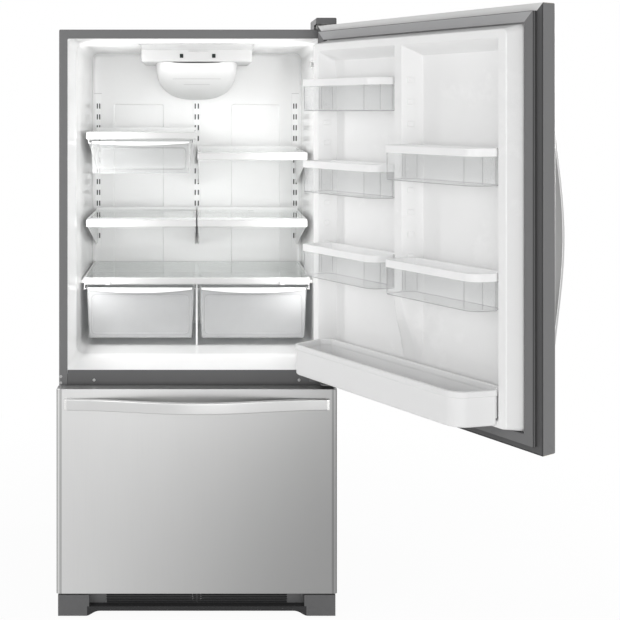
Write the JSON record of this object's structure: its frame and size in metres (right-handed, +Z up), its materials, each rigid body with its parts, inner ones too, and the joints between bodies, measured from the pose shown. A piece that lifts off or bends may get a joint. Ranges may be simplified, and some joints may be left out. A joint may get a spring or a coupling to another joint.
{
  "type": "bottom freezer refrigerator",
  "caption": "Stainless refrigerator with a right-hung fresh food door over a pull-out freezer drawer, glass shelves, clear drawers and door bins.",
  "frame": {"origin": "on the floor at mid width, in the plane of the cabinet's front flange", "axes": "+Z up, +X to the right seen from the front, -Y towards the user"},
  "size_m": [1.2988, 1.4229, 1.774],
  "materials": {
    "case_paint": "satin grey paint",
    "steel_sheet": "galvanised sheet",
    "stainless": "vertical brushed",
    "foam": "matte foam",
    "liner_white": "satin white",
    "trim_white": "satin white",
    "clear_plastic": "clear",
    "pane": "clear",
    "gasket_rubber": "matte",
    "dark_plastic": "textured dark grey",
    "grey_plastic": "textured grey",
    "shelf_steel": "white epoxy paint",
    "zinc_steel": "zinc plated",
    "copper_aluminium": "bare fins",
    "black_metal": "black enamel",
    "display": "dark lens",
    "bulb": "frosted",
    "nylon": "nylon"
  },
  "bodies": {
    "cabinet": {"cabinet_wrapper": "case_paint", "back_panel": "steel_sheet", "base_frame": "steel_sheet", "cabinet_foam": "foam", "fresh_food_liner": "liner_white", "freezer_liner": "liner_white", "mullion_bar": "case_paint", "shelf_tracks": "shelf_steel", "shelf_frames": "trim_white", "shelf_glass": "pane", "shelf_brackets": "shelf_steel", "crisper_cover": "trim_white", "crisper_cover_glass": "pane", "control_housing": "trim_white", "control_windows": "display", "light_cover": "trim_white", "light_bulb": "bulb", "top_hinge": "zinc_steel", "top_hinge_cover": "grey_plastic", "centre_hinge": "zinc_steel", "screws": "zinc_steel", "base_grille": "dark_plastic", "levelling_legs": "zinc_steel", "compressor": "black_metal", "condenser": "copper_aluminium", "evaporator": "copper_aluminium", "evaporator_cover": "liner_white", "rear_cover": "steel_sheet", "drain_pan": "dark_plastic", "slide_cabinet_members": "zinc_steel"},
    "door": {"door_skin": "stainless", "door_foam": "foam", "door_liner": "liner_white", "door_gasket": "gasket_rubber", "door_handle": "stainless", "door_hinge_bushes": "nylon", "door_bins_left": "clear_plastic", "door_bins_right": "clear_plastic", "gallon_bin": "trim_white"},
    "drawer": {"drawer_skin": "stainless", "drawer_foam": "foam", "drawer_liner": "liner_white", "drawer_gasket": "gasket_rubber", "drawer_handle": "stainless", "drawer_frame": "zinc_steel", "freezer_bin": "trim_white"},
    "slide_middle": {"slide_middle_members": "zinc_steel"},
    "tray": {"freezer_tray": "trim_white"},
    "crisper_left": {"crisper_left": "clear_plastic"},
    "crisper_right": {"crisper_right": "clear_plastic"},
    "humidity_left": {"humidity_slider_left": "trim_white"},
    "humidity_right": {"humidity_slider_right": "trim_white"},
    "deli": {"deli_drawer": "clear_plastic"},
    "button_left": {"control_button_left": "trim_white"},
    "button_right": {"control_button_right": "trim_white"},
    "switch": {"light_switch": "nylon"},
    "condenser_blades": {"condenser_fan": "dark_plastic"},
    "evaporator_blades": {"evaporator_fan": "dark_plastic"},
    "rear_wheels": {"rear_rollers": "nylon"},
    "front_wheels": {"front_rollers": "nylon"}
  },
  "joints": [
    {"name": "door_swing", "type": "hinge", "parent": "cabinet", "child": "door", "pos_m": [0.392, -0.036, 1.2215], "axis": [0, 0, 1], "range_deg": [-122.4, 7.6]},
    {"name": "freezer_drawer_slide", "type": "slide", "parent": "cabinet", "child": "drawer", "axis": [0, -1, 0], "range_m": [0, 0.42]},
    {"name": "slide_middle_run", "type": "slide", "parent": "cabinet", "child": "slide_middle", "axis": [0, -1, 0], "range_m": [0, 0.21]},
    {"name": "tray_slide", "type": "slide", "parent": "drawer", "child": "tray", "axis": [0, 1, 0], "range_m": [0, 0.12]},
    {"name": "crisper_left_slide", "type": "slide", "parent": "cabinet", "child": "crisper_left", "axis": [0, -1, 0], "range_m": [0, 0.26]},
    {"name": "crisper_right_slide", "type": "slide", "parent": "cabinet", "child": "crisper_right", "axis": [0, -1, 0], "range_m": [0, 0.26]},
    {"name": "deli_slide", "type": "slide", "parent": "cabinet", "child": "deli", "axis": [0, -1, 0], "range_m": [0, 0.2]},
    {"name": "humidity_left_slide", "type": "slide", "parent": "cabinet", "child": "humidity_left", "axis": [1, 0, 0], "range_m": [0, 0.048]},
    {"name": "humidity_right_slide", "type": "slide", "parent": "cabinet", "child": "humidity_right", "axis": [-1, 0, 0], "range_m": [0, 0.048]},
    {"name": "button_left_press", "type": "slide", "parent": "cabinet", "child": "button_left", "axis": [0, 1, 0], "range_m": [0, 0.001], "stiffness_N_per_m": 600},
    {"name": "button_right_press", "type": "slide", "parent": "cabinet", "child": "button_right", "axis": [0, 1, 0], "range_m": [0, 0.001], "stiffness_N_per_m": 600},
    {"name": "light_switch_press", "type": "slide", "parent": "cabinet", "child": "switch", "axis": [0, 1, 0], "range_m": [0, 0.004], "stiffness_N_per_m": 300},
    {"name": "condenser_fan_spin", "type": "hinge", "parent": "cabinet", "child": "condenser_blades", "pos_m": [0.042, 0.583, 0.15], "axis": [1, 0, 0], "continuous": true},
    {"name": "evaporator_fan_spin", "type": "hinge", "parent": "cabinet", "child": "evaporator_blades", "pos_m": [0, 0.514, 0.566], "axis": [0, 1, 0], "continuous": true},
    {"name": "rear_wheels_roll", "type": "hinge", "parent": "cabinet", "child": "rear_wheels", "pos_m": [0.384, 0.64, 0.022], "axis": [1, 0, 0], "continuous": true},
    {"name": "front_wheels_roll", "type": "hinge", "parent": "cabinet", "child": "front_wheels", "pos_m": [0.384, 0.096, 0.0195], "axis": [1, 0, 0], "continuous": true}
  ],
  "couplings": [
    {"joint": "slide_middle_run", "follows": "freezer_drawer_slide", "ratio": 0.5}
  ]
}
